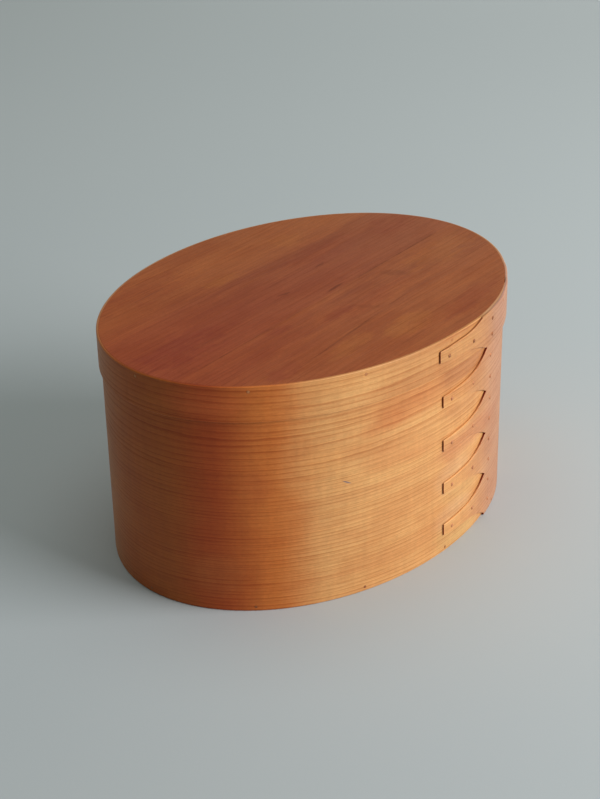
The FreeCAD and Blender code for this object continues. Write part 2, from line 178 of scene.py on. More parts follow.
@dataclass
class Band:
    """A strip bent round a base contour so that its fingered outer end laps over its thinned inner end."""

    base: Callable
    inner_end: float
    feather_length: float
    tip_place: float
    finger_flare: float
    finger_heights: list
    low: float
    high: float
    side_bevel: float  # under the upper sides of the fingers

    def inner_layer(self, distance):
        """Thickness of the strip near its inner end, which is thinned to a feather."""
        share = smooth((self.inner_end - distance) / self.feather_length)
        return FEATHER_EDGE + (BAND_THICKNESS - FEATHER_EDGE) * share

    def lift(self, distance):
        """How far the outer layer stands off the base contour."""
        relaxed = 1.0 - smooth((distance - self.inner_end) / RELAX_LENGTH)
        over_end = (FEATHER_EDGE + LAP_GAP) * relaxed
        return np.where(distance <= self.inner_end, self.inner_layer(distance) + LAP_GAP, over_end)

    def layer(self, distance):
        """Offsets of the inner and the outer face at an unwound distance along the strip."""
        outer = distance < self.inner_end + RELAX_LENGTH + LAP
        inside = self.base(distance) + np.where(outer, self.lift(distance - LAP), 0.0)
        thickness = np.where(outer, BAND_THICKNESS, self.inner_layer(distance))
        return inside, inside + thickness

    def tip(self, height):
        """Place of the leaning line of the fingertips."""
        return self.tip_place - height * LEAN

    # what a plate needs

    def face(self, points, side, drop):
        """Places on the outer (side 1) or inner (side -1) face, let into the wood by drop."""
        place, height = points.T
        inside, outside = self.layer(place)
        setback = place - LAP - self.tip(height)
        thinned = THINNED_DEPTH * (1.0 - smooth(setback / THINNED_LENGTH))
        return oval.point(place, outside - thinned - drop if side > 0 else inside + drop, height)

    def axes(self, points):
        out = oval.outward(points[:, 0])
        up = np.broadcast_to([0.0, 0.0, 1.0], out.shape)
        return np.cross(up, out), up, out

    def thickness(self, points):
        inside, outside = self.layer(points[:, 0])
        return outside - inside

    def grain(self, points, side, drop):
        """Along the grain, across it and into the wood."""
        depth = drop if side > 0 else self.thickness(points) - drop
        return np.column_stack([points, np.broadcast_to(depth, len(points))])

    # its outline

    def half_width(self, setback):
        """Half the width of a finger: straight sides that run into an arc up to the points of the gaps."""
        start_half, radius = self.arc()
        turned = np.arcsin(math.sin(FINGER_TAPER) + np.maximum(setback - FINGER_STRAIGHT, 0.0) / radius)
        arc_half = start_half + radius * (math.cos(FINGER_TAPER) - np.cos(turned))
        return np.where(setback < FINGER_STRAIGHT, TIP_HALF + setback * math.tan(FINGER_TAPER), arc_half)

    def side_end(self, edge, centre):
        """Setback at which a finger's side ends, at an edge of the strip or at the point of a gap."""
        start_half, radius = self.arc()
        half_width = min(self.finger_flare / 2, abs(edge - centre))
        turned = math.acos(math.cos(FINGER_TAPER) - (half_width - start_half) / radius)
        return min(FINGER_LENGTH, FINGER_STRAIGHT + radius * (math.sin(turned) - math.sin(FINGER_TAPER)))

    def arc(self):
        """Half the width of a finger where the arcs of its sides start, and their radius."""
        start_half = TIP_HALF + FINGER_STRAIGHT * math.tan(FINGER_TAPER)
        run = FINGER_LENGTH - FINGER_STRAIGHT
        rise = self.finger_flare / 2 - start_half
        slope = rise * math.cos(FINGER_TAPER) - run * math.sin(FINGER_TAPER)
        return start_half, (run * run + rise * rise) / (2 * slope)

    def finger(self, centre):
        """Outline of one finger, from the gap above it round the tip to the gap below it."""
        turns = np.radians([25.0, 50.0, 72.0, 90.0])
        halves = TIP_HALF - TIP_CORNER * (1 - np.cos(turns))
        corner = list(zip(TIP_CORNER * (1 - np.sin(turns)), halves))
        upper = spread(self.side_end(self.high, centre), TIP_CORNER, FINGER_STEP)
        lower = spread(TIP_CORNER, self.side_end(self.low, centre), FINGER_STEP)
        points = [(setback, centre + self.half_width(setback)) for setback in upper]
        points += [(setback, centre + half) for setback, half in corner]
        points += [(setback, centre - half) for setback, half in reversed(corner)]
        return points + [(setback, centre - self.half_width(setback)) for setback in lower]

    def outline(self):
        """The whole strip laid flat, anticlockwise: inner end, top edge, fingers, bottom edge."""
        ends = [(FINGER_LENGTH, self.high)] if self.reaches_past(self.high) else []
        for centre in reversed(self.finger_heights):
            ends += self.finger(centre)
        ends += [(FINGER_LENGTH, self.low)] if self.reaches_past(self.low) else []
        lap = [(self.tip(height) + setback + LAP, height) for setback, height in ends]
        points = [(self.inner_end, height) for height in spread(self.low, self.high, BAND_STEP)]
        points += [(distance, self.high) for distance in spread(self.inner_end, lap[0][0], BAND_STEP)]
        points += lap
        points += [(distance, self.low) for distance in spread(lap[-1][0], self.inner_end, BAND_STEP)]
        points = np.array(points)
        gaps = np.linalg.norm(points - np.roll(points, 1, axis=0), axis=1)
        return points[gaps > SAME_POINT]

    def edge_size(self, outline):
        """Width of the rounding along the outline, and its depth on the outer and on the inner face."""
        place, height = outline.T
        radius = np.where(height == self.low, LOWER_RADIUS, EDGE_RADIUS)
        size = np.minimum(radius, ROUNDED_SHARE * self.thickness(outline))

        # the rim of the lid is softened, except on the layer that the lap covers
        rim = height == LID_HIGH
        bare_rim = rim & (place <= self.lap_start())
        size = np.where(rim, np.where(bare_rim, RIM_RADIUS, SHARP), size)

        # the fingers are bevelled, most along their upper sides
        cut = (height > self.low + EDGE_RADIUS) & (height < self.high - EDGE_RADIUS)
        cut &= place < self.inner_end - RELAX_LENGTH
        corners = corner_normals(outline)
        slope = np.abs(unit(corners)[:, 0])
        ledge = np.where(corners[:, 1] > 0, 1.0 - smooth((slope - LEDGE_SLOPE) / LEDGE_FADE), 0.0)
        width, outer_depth, inner_depth = [
            np.where(cut, TIP_BEVEL + (bevel - TIP_BEVEL) * ledge, size)
            for bevel in (LEDGE_WIDTH, LEDGE_DEPTH, self.side_bevel)
        ]

        over_layer = place < self.inner_end + LAP
        inner_depth = np.where(bare_rim, np.where(over_layer, -RIM_CLOSED, SHARP), inner_depth)
        foot = (height == 0.0) & (place < self.inner_end - self.feather_length)
        return np.where(foot, FOOT_WIDTH, width), np.where(foot, FOOT_WIDTH, outer_depth), inner_depth

    def lap_start(self):
        """Where the outer layer starts to cover the upper edge of the strip."""
        return self.tip(self.high) + self.side_end(self.high, max(self.finger_heights))

    def reaches_past(self, edge):
        """True if there is wood between an edge of the strip and the point of the nearest gap."""
        return min(abs(centre - edge) for centre in self.finger_heights) > self.finger_flare / 2


def spread(start, end, step):
    """Evenly spaced values from start to end, both included."""
    return np.linspace(start, end, max(2, int(abs(end - start) / step) + 2))


box_band = Band(
    base=lambda distance: 0.0 * distance,
    inner_end=110 * MM,
    feather_length=45 * MM,
    tip_place=-13.1 * MM,
    finger_flare=BOX_FINGER_PITCH,
    finger_heights=[LOWEST_FINGER + number * BOX_FINGER_PITCH for number in range(FINGER_COUNT)],
    low=0.0,
    high=RIM_HEIGHT,
    side_bevel=0.22 * MM,
)


def lid_base(distance):
    """The lid band is bent round the box band and clears its lap."""
    distance = oval.wrapped(distance)
    bulge_end = box_band.tip(LID_HIGH) + FINGER_LENGTH - 2 * MM
    share = smooth((distance - bulge_end) / LID_BULGE_LENGTH + 1)
    return BAND_THICKNESS + LID_CLEARANCE + box_band.lift(distance) * share


lid_band = Band(
    base=lid_base,
    inner_end=84.05 * MM,
    feather_length=30 * MM,
    tip_place=-18.15 * MM,
    finger_flare=LID_FINGER_FLARE,
    finger_heights=[LID_FINGER],
    low=LID_LOW,
    high=LID_HIGH,
    side_bevel=TIP_BEVEL,
)


@dataclass
class Board:
    """A flat board inside a band."""

    base: Callable
    low: float
    high: float

    def face(self, points, side, drop):
        height = self.high - drop if side > 0 else self.low + drop
        return np.column_stack([points, np.broadcast_to(height, len(points))])

    def axes(self, points):
        return [np.broadcast_to(axis, (len(points), 3)) for axis in np.eye(3)]

    def grain(self, points, side, drop):
        return self.face(points, side, drop)

    def outline(self):
        distances = np.arange(0.0, oval.perimeter, BOARD_STEP)
        return oval.point(distances, self.base(distances) - SEAM, 0 * distances)[:, :2]

    def edge_size(self, outline):
        size = np.full(len(outline), BOARD_EDGE_RADIUS)
        return size, size, size


# ---- Meshes ----


def is_inside(points, outline):
    """For each point, whether it is inside a closed outline."""
    x, y = points[:, 0:1], points[:, 1:2]
    (x0, y0), (x1, y1) = outline.T, np.roll(outline, -1, axis=0).T
    rise = np.where(y1 == y0, 1.0, y1 - y0)
    crossed = ((y0 > y) != (y1 > y)) & (x < x0 + (y - y0) * (x1 - x0) / rise)
    return crossed.sum(axis=1) % 2 == 1


def is_wood(points, outline, holes):
    """For each point, whether it is inside an outline and in none of its holes."""
    in_holes = [is_inside(points, hole) for hole in holes]
    return is_inside(points, outline) & ~np.any(in_holes, axis=0)


def clearance(points, outline):
    """For each point, how far it is from a closed outline."""
    along = np.roll(outline, -1, axis=0) - outline
    away = points[:, None, :] - outline
    share = np.clip((away * along).sum(axis=2) / (along * along).sum(axis=1), 0, 1)
    return np.linalg.norm(away - share[..., None] * along, axis=2).min(axis=1)


def corner_normals(outline):
    """Outward normal at each corner of an anticlockwise outline, long enough to shift both sides by 1."""
    along = unit(np.roll(outline, -1, axis=0) - outline)
    after = np.stack([along[:, 1], -along[:, 0]], axis=1)
    before = np.roll(after, 1, axis=0)
    return (before + after) / (1 + (before * after).sum(axis=1, keepdims=True))


def triangulate(outline, holes, spacing):
    """Points and triangles that fill an outline less its holes. The outline's points come first."""
    low, high = outline.min(axis=0), outline.max(axis=0)
    columns, rows = [np.arange(low[k], high[k], spacing[k]) for k in (0, 1)]
    grid = np.stack(np.meshgrid(columns, rows), axis=-1).reshape(-1, 2)
    grid = grid[is_wood(grid, outline, holes)]
    rings = [outline, *holes]
    for ring in rings:
        grid = grid[clearance(grid, ring) > CLEAR_OF_RINGS * min(spacing)]
    points = np.concatenate([*rings, grid])
    edges, first = [], 0
    for ring in rings:
        count = len(ring)
        edges += [(first + k, first + (k + 1) % count) for k in range(count)]
        first += count
    made = delaunay_2d_cdt([Vector(p / MM) for p in points], edges, [], 0, 1e-5)
    if len(made[0]) != len(points):
        raise ValueError("an outline crosses itself")
    source = [origin[0] for origin in made[3]]
    triangles = np.array([[source[k] for k in face] for face in made[2]])
    return points, triangles[is_wood(points[triangles].mean(axis=1), outline, holes)]


def add_object(name, data):
    """A new object of this name in the scene."""
    thing = bpy.data.objects.new(name, data)
    bpy.context.scene.collection.objects.link(thing)
    return thing


def new_mesh(name, places, faces, normals=None, **attributes):
    """A smooth-shaded object of this name. normals has one normal for each corner of each face."""
    mesh = bpy.data.meshes.new(name)
    mesh.from_pydata(np.asarray(places).tolist(), [], [list(map(int, face)) for face in faces])
    mesh.polygons.foreach_set("use_smooth", [True] * len(mesh.polygons))
    for key, values in attributes.items():
        values = np.asarray(values, np.float32)
        kind, field = ("FLOAT_VECTOR", "vector") if values.ndim == 2 else ("FLOAT", "value")
        mesh.attributes.new(key, kind, "POINT").data.foreach_set(field, values.ravel())
    if normals is not None:
        mesh.normals_split_custom_set(np.asarray(normals).tolist())
    return add_object(name, mesh)


def plate(name, surface, holes, spacing):
    """A closed sheet of wood with rounded edges, cut to its surface's outline and holes."""
    outline = surface.outline()
    corners = corner_normals(outline)
    edge_width, outer_depth, inner_depth = surface.edge_size(outline)
    points, triangles = triangulate(outline - corners * edge_width[:, None], holes, spacing)
    count, ring = len(points), len(outline)
    places, grains, vertex_normals, wear, end_grain = [], [], [], [], []

    def lay(at, side, drop, normals, worn_and_lit=0.0, cut=0.0):
        """Lays points on a face, let into the wood by drop. Returns the numbers of those on its edge."""
        first = sum(map(len, places))
        places.append(surface.face(at, side, drop))
        grains.append(surface.grain(at, side, drop))
        vertex_normals.append(normals)
        wear.append(np.full(len(at), worn_and_lit))
        end_grain.append(cut * wear[-1])
        return np.arange(first, first + ring)

    # both faces
    out = surface.axes(points)[2]
    rings = [lay(points, 1, 0.0, out)]
    inner_ring = lay(points, -1, 0.0, -out)
    faces = [*triangles, *(triangles[:, ::-1] + count)]

    # the rounded edge between them, ring by ring
    turns = np.linspace(0, math.pi / 2, ROUNDING_STEPS + 1)[1:]
    along, up, out = surface.axes(outline)
    way = unit(corners)
    edgeways = along * way[:, 0:1] + up * way[:, 1:2]
    for side, depth, order in ((1, outer_depth, turns), (-1, inner_depth, turns[::-1])):
        for turn in order:
            at = outline - corners * (edge_width * (1 - math.sin(turn)))[:, None]
            rounded = side * math.cos(turn) * out + math.sin(turn) * edgeways
            # how far round the edge a ring is; the material tints by it for wear and for painted light
            worn_and_lit = math.sin(turn) ** 2 if side > 0 else 1.0
            drop = depth * (1 - math.cos(turn))
            rings.append(lay(at, side, drop, rounded, worn_and_lit, np.abs(way[:, 0])))
    rings.append(inner_ring)
    for upper, lower in zip(rings, rings[1:]):
        faces += list(np.stack([lower, np.roll(lower, -1), np.roll(upper, -1), upper], axis=1))
    vertex_normals = np.concatenate(vertex_normals)
    normals = [vertex_normals[k] for face in faces for k in face]

    # the walls of the holes
    first = ring
    for hole in holes:
        inwards = unit(hole.mean(axis=0) - hole)
        along, up, _ = surface.axes(hole)
        wall = along * inwards[:, 0:1] + up * inwards[:, 1:2]
        for k in range(len(hole)):
            after = (k + 1) % len(hole)
            faces.append((first + k, first + after, first + after + count, first + k + count))
            normals += [wall[k], wall[after], wall[after], wall[k]]
        first += len(hole)
    places, grain, wear, end_grain = map(np.concatenate, (places, grains, wear, end_grain))
    return new_mesh(name, places, faces, normals, grain=grain, wear=wear, end_grain=end_grain)


def circle(count, radius):
    """Places evenly spaced round a circle about the origin."""
    turns = np.linspace(0, 2 * math.pi, count, endpoint=False)
    return np.stack([np.cos(turns), np.sin(turns)], axis=1) * radius


def lathe(profile, segments):
    """Vertices and faces of a closed shape turned round z, from the top of its axis to the foot."""
    vertices = [(0.0, 0.0, profile[0][1])]
    for radius, height in profile[1:-1]:
        vertices += [(x, y, height) for x, y in circle(segments, radius)]
    vertices.append((0.0, 0.0, profile[-1][1]))
    faces = []
    for k in range(segments):
        after = (k + 1) % segments
        faces.append((0, 1 + k, 1 + after))
        for level in range(len(profile) - 3):
            top, bottom = 1 + level * segments, 1 + (level + 1) * segments
            faces.append((top + k, bottom + k, bottom + after, top + after))
        last = 1 + (len(profile) - 3) * segments
        faces.append((last + after, last + k, len(vertices) - 1))
    return np.array(vertices), faces


def rod(path, radii, segments):
    """Vertices and faces of a closed rod along a path in the x-z plane."""
    along = unit(np.gradient(path, axis=0))
    sideways = np.array([0.0, 1.0, 0.0])
    vertices, faces = [], []
    for point, ahead, (wide, thick) in zip(path, along, radii):
        over = np.cross(sideways, ahead)
        for x, y in circle(segments, 1.0):
            vertices.append(point + sideways * wide * x + over * thick * y)
    for level in range(len(path) - 1):
        for k in range(segments):
            after = (k + 1) % segments
            low, high = level * segments, (level + 1) * segments
            faces.append((low + k, low + after, high + after, high + k))
    faces.append(tuple(range(segments))[::-1])
    faces.append(tuple(range((len(path) - 1) * segments, len(path) * segments)))
    return np.array(vertices), faces


# ---- Fasteners ----

GRAIN_STEP = 7 * MM  # from one fastener of a group to the next
SHADE_STEP = 0.618


def fastener_frame(band, distance, height, outer=True):
    """Matrix whose z points out of a band's outer face, x along the band and y up, and its place."""
    lap = band.tip(height) < distance < band.inner_end + RELAX_LENGTH
    unwound = distance + LAP if lap and outer or distance > band.inner_end else distance
    at = np.array([[unwound, height]])
    return np.stack([axis[0] for axis in band.axes(at)], axis=1), band.face(at, 1, 0.0)[0]


def scattered(name, shapes):
    """One mesh of placed shapes (vertices, faces, rotation, place), each with its own grain and shade."""
    places, faces, grains, shades = [], [], [], []
    for number, (vertices, own_faces, rotation, place) in enumerate(shapes):
        first = sum(map(len, places))
        faces += [tuple(k + first for k in face) for face in own_faces]
        places.append(vertices @ rotation.T + place)
        grains.append(vertices + [number * GRAIN_STEP, 0, 0])
        shades.append(np.full(len(vertices), (number * SHADE_STEP) % 1.0))
    places, grain, shade = map(np.concatenate, (places, grains, shades))
    return new_mesh(name, places, faces, grain=grain, shade=shade)


def tack(chance):
    """A copper tack: a low hammered head, a square-ish shank through two layers and a clinched point."""
    grip = (2 * BAND_THICKNESS + LAP_GAP) / MM
    flats = []
    for _ in range(4):
        turn = chance.uniform(0, 2 * math.pi)
        slope = chance.uniform(0.08, 0.3)
        flats.append((slope * math.cos(turn), slope * math.sin(turn), chance.uniform(0.46, 0.58) * MM))
    squash = chance.uniform(0.83, 0.93)
    bend = chance.uniform(-0.15, 0.15)

    # the head: radii and heights in millimetres, with the flats hammered into it
    profile = [(0, 0.56), (0.35, 0.55), (0.7, 0.49), (1.0, 0.39), (1.22, 0.25), (1.33, 0.12)]
    profile = np.array([*profile, (1.36, 0.02), (0, -0.05)]) * MM
    vertices, faces = lathe(profile, TURNED_SEGMENTS)
    x, y, z = vertices.T
    ceiling = np.min([level - sx * x - sy * y for sx, sy, level in flats], axis=0)
    z[:] = np.where(z > 0.05 * MM, np.minimum(z, np.maximum(ceiling, 0.08 * MM)), z)
    x *= squash

    # the shank, in millimetres, which turns aside past the inner layer
    path = [(0, 0, 0.1), (0, 0, 0.35 - grip), (0.08, 0, 0.12 - grip), (0.35, bend, -0.02 - grip)]
    path += [(1.3, 2 * bend, -0.03 - grip), (2.2, 3 * bend, 0.02 - grip)]
    radii = np.array([(0.6, 0.6), (0.55, 0.5), (0.5, 0.34), (0.46, 0.2), (0.36, 0.15), (0.14, 0.1)])
    shank, shank_faces = rod(np.array(path) * MM, radii * MM, SHANK_SEGMENTS)
    faces += [tuple(k + len(vertices) for k in face) for face in shank_faces]
    return np.concatenate([vertices, shank]), faces


def tacks(name, band, spots, seed):
    """Tacks at places given as setbacks from the fingertips and heights."""
    chance = random.Random(seed)
    shapes = []
    for setback, height in spots:
        shapes.append((*tack(chance), *fastener_frame(band, band.tip(height) + setback, height)))
    return scattered(name, shapes)


def peg_distances(band, height):
    """Where the pegs of one ring are, and for each whether it goes through the outer layer of the lap."""
    places = [oval.wrapped(FIRST_PEG + number * oval.perimeter / PEG_COUNT) for number in range(PEG_COUNT)]
    return [(place, place - band.tip(height) > FINGER_LENGTH) for place in places]


def pegs(name, band, height, seed):
    """A ring of whittled pegs, cut off flush with the band."""
    chance = random.Random(seed)
    shapes = []
    for distance, outer in peg_distances(band, height):
        radius = PEG_RADIUS * chance.uniform(0.93, 0.97)
        end = [(0, 0.01 * MM), (0.6 * radius, 0.01 * MM), (radius - 0.1 * MM, 0.0)]
        shaft = [(radius, -0.12 * MM), (radius, -3 * MM)]
        point = [(0.7 * radius, 0.5 * MM - PEG_LENGTH), (0, 0.2 * MM - PEG_LENGTH)]
        facets = chance.uniform(0, math.pi)
        vertices, faces = lathe(end + shaft + point, TURNED_SEGMENTS)
        angle = np.arctan2(vertices[:, 1], vertices[:, 0])
        vertices[:, :2] *= (1 - 0.04 * np.abs(np.sin(3 * angle + facets)))[:, None]
        shapes.append((vertices, faces, *fastener_frame(band, distance, height, outer)))
    return scattered(name, shapes)


def peg_holes(band, height):
    """Outlines of the peg holes in a band laid flat, in the layer or layers that each goes through."""
    hole = circle(HOLE_POINTS, PEG_RADIUS)
    holes = []
    for distance, outer in peg_distances(band, height):
        if distance < band.inner_end:
            holes.append(hole + [distance, height])
        if outer and distance < band.inner_end + FINGER_LENGTH or distance > band.inner_end:
            holes.append(hole + [distance + LAP, height])
    return holes


# ---- Materials ----


class Value:
    """A node's output, which can be added, subtracted and multiplied like a number."""

    def __init__(self, graph, socket):
        self.graph = graph
        self.socket = socket

    def __add__(self, other):
        return self.graph.math("ADD", self, other)

    def __sub__(self, other):
        return self.graph.math("SUBTRACT", self, other)

    def __rsub__(self, other):
        return self.graph.math("SUBTRACT", other, self)

    def __mul__(self, other):
        return self.graph.math("MULTIPLY", self, other)

    __radd__ = __add__

    def span(self, low, high, to_low=0.0, to_high=1.0):
        """Eased step between two limits."""
        limits = {"Value": self, "From Min": low, "From Max": high, "To Min": to_low, "To Max": to_high}
        return self.graph.value("MapRange", limits, interpolation_type="SMOOTHSTEP")


class Graph:
    """The nodes of a material or of the world. An input may be a number, a colour or a value."""

    def __init__(self, owner):
        owner.use_nodes = True
        self.owner = owner
        self.tree = owner.node_tree
        self.tree.nodes.clear()

    def node(self, kind, inputs, **settings):
        node = self.tree.nodes.new("ShaderNode" + kind)
        for setting, value in settings.items():
            setattr(node, setting, value)
        for socket, value in inputs.items():
            if isinstance(value, Value):
                self.tree.links.new(value.socket, node.inputs[socket])
            else:
                node.inputs[socket].default_value = value
        return node

    def value(self, kind, inputs, output=0, **settings):
        return Value(self, self.node(kind, inputs, **settings).outputs[output])

    def math(self, operation, *values):
        return self.value("Math", dict(enumerate(values)), operation=operation)

    def vector(self, operation, first, second, output=0):
        return self.value("VectorMath", {0: first, 1: second}, output, operation=operation)

    def parts(self, vector):
        return [Value(self, socket) for socket in self.node("SeparateXYZ", {0: vector}).outputs]

    def attribute(self, name, output="Fac"):
        return self.value("Attribute", {}, output, attribute_name=name)

    def noise(self, vector, size, detail=2.0, roughness=0.5):
        """Noise from 0 to 1. size is along, across and, if not the same, through the grain."""
        scale = [1 / length for length in (*size, size[1])[:3]]
        inputs = {"Vector": self.vector("MULTIPLY", vector, scale), "Scale": 1.0, "Detail": detail}
        return self.value("TexNoise", {**inputs, "Roughness": roughness})

    def blend(self, share, first, second, mode="MIX"):
        inputs = {0: share, 6: rgba(first), 7: rgba(second)}
        return self.value("Mix", inputs, 2, data_type="RGBA", blend_type=mode)

    def toned(self, colour, *tones, mode="MIX"):
        """A colour with others laid over it in turn, each given with its share."""
        for share, tone in tones:
            colour = self.blend(share, colour, tone, mode)
        return colour

    def marked(self, colour, vector, marks, ragged=0.0):
        """A colour with oval marks on the face, each fading to its rim, which ragged makes uneven."""
        for x, y, length, width, slope, strength, tone in marks:
            along, across, _ = self.parts(self.vector("ADD", vector, [-x * MM, -y * MM, 0.0]))
            across = (across + along * -slope) * (1 / (width * MM))
            along = along * (1 / (length * MM))
            share = (along * along + across * across + ragged).span(0.0, 1.0, 1.0, 0.0)
            colour = self.blend(share * strength, colour, tone)
        return colour

    def finish(self, colour, roughness, height, specular=0.5, metallic=0.0):
        """The finished material, its surface raised by a height."""
        bump = self.value("Bump", {"Strength": 1.0, "Distance": 1.0, "Height": height})
        inputs = {"Base Color": colour, "Roughness": roughness, "Normal": bump, "Metallic": metallic}
        surface = self.value("BsdfPrincipled", {**inputs, "Specular IOR Level": specular})
        self.node("OutputMaterial", {"Surface": surface})
        return self.owner


def new_material(name):
    """The nodes of a new material, and the place in the grain that it starts from."""
    graph = Graph(bpy.data.materials.new(name))
    return graph, graph.attribute("grain", "Vector")


def rgba(colour):
    """A colour with its alpha. Another node's output stays as it is."""
    return (*colour, 1.0) if isinstance(colour, tuple) else colour


def srgb(*colour):
    """Linear colour of an 8-bit sRGB colour."""
    return tuple(((c / 255 + 0.055) / 1.055) ** 2.4 if c > 10 else c / 255 / 12.92 for c in colour)


@dataclass
class Cherry:
    """The figure of one board or strip of cherry."""

    line: tuple  # tint of the late wood of a year ring
    ring_spacing: float
    ring_contrast: float
    texture: float  # strength of the fibre, fine lines and grit
    ripple: float  # strength of the bands of light across the grain
    wave: float  # how far the rings wander across the grain
    offset: tuple  # where in the tree it was cut
    wide_above: float = 1.0  # height above which the rings are half as wide again


def figure(graph, grain, wood, colour, raised=1.0):
    """A plain colour with its figure drawn in, a height map and how dull it makes the finish.

    raised strengthens the rings.
    """
    place = graph.vector("ADD", grain, wood.offset)
    _, across, depth = graph.parts(place)
    _, own_height, _ = graph.parts(grain)

    # year rings: wandering lines that crowd together and fade in and out
    long_wave = graph.noise(place, (0.30, 0.09, 0.05), 1.0)
    short_wave = graph.noise(place, (0.06, 0.012))
    shiver = graph.noise(place, (0.014, 0.003))
    crowding = graph.noise(place, (0.5, 0.010))
    widened = graph.math("MAXIMUM", own_height - wood.wide_above, 0.0)
    wandered = (
        across
        + depth * 0.6
        + long_wave * wood.wave
        + short_wave * (0.10 * wood.wave)
        + shiver * 0.0007
        + crowding * (1.9 * wood.ring_spacing)
        - widened * 0.33
    )
    phase = graph.math("FRACT", wandered * (1 / wood.ring_spacing))
    rise = graph.math("POWER", phase.span(0.48, 0.93), 1.4)
    fade = graph.noise(place, (0.10, 0.007)).span(0.36, 0.64, 0.45, 1.0)
    late = rise * phase.span(0.94, 1.0, 1.0, 0.0) * fade * raised
    # lighter wood after each ring line: partly earlywood, partly a painted highlight
    early_and_highlight = phase.span(0.0, 0.30, 1.0, 0.0) * fade * raised

    # blotches, fine lines, fibre, grit and the ripple of light across the grain
    blotch = graph.noise(place, (0.045, 0.018), 3.0, 0.6)
    fine = graph.noise(place, (0.060, 0.0011), 2.0, 0.6)
    fibre = graph.noise(place, (0.010, 0.00040), 3.0, 0.65)
    grit = graph.noise(place, (0.0021, 0.0012), 2.0, 0.6)
    ripple = graph.noise(place, (0.0038, 0.040))
    streak = graph.noise(place, (0.045, 0.0008), 2.0, 0.6).span(0.50, 0.66)
    pore = graph.noise(place, (0.0030, 0.00024), 1.0).span(0.67, 0.74)
    dash = graph.noise(place, (0.024, 0.0010), 1.0).span(0.72, 0.80)

    average = 1.18 * wood.texture + 0.5 * wood.ripple  # about what the noises below add
    light = (
        1.0
        - average
        + early_and_highlight * (0.15 * wood.ring_contrast)
        + fine * (0.7 * wood.texture)
        + fibre * wood.texture
        + grit * wood.texture
        + ripple * wood.ripple
    )
    grey = graph.value("CombineXYZ", {0: light, 1: light, 2: light})
    colour = graph.toned(
        colour,
        (blotch.span(0.38, 0.66), (0.93, 0.86, 0.82)),
        (late * wood.ring_contrast, wood.line),
        (dash * 0.40 + pore * 0.25 + streak * (0.9 * wood.texture), wood.line),
        (1.0, grey),
        mode="MULTIPLY",
    )
    height = late * -1.6e-5 + pore * -2.0e-5 + ripple * (1.7e-4 * wood.ripple)
    return colour, height, late * 0.08 + pore * 0.12


def oiled(graph, drawn, roughness, edge_tint):
    """Satin oil finish over a drawn figure. Cut end grain takes most of the oil and goes dark."""
    colour, height, dullness = drawn
    # next to the faces the rounded edges are lightened and blued: partly wear, partly a painted highlight
    rubbed_and_highlit = graph.blend(1.0, colour, (1.14, 1.18, 1.30), "MULTIPLY")
    # further round, the edge tint, which on the bands also carries painted light and shade
    worn_and_lit = graph.blend(1.0, colour, edge_tint, "MULTIPLY")
    wear = graph.attribute("wear")
    end_grain = graph.attribute("end_grain").span(0.24, 0.54)
    colour = graph.toned(
        colour,
        (wear.span(0.0, 0.3), rubbed_and_highlit),
        (wear.span(0.5, 0.95), worn_and_lit),
        (end_grain, srgb(122, 34, 4)),
    )
    dullness = roughness + dullness + end_grain * 0.2
    return graph.finish(colour, dullness, height, specular=0.24)


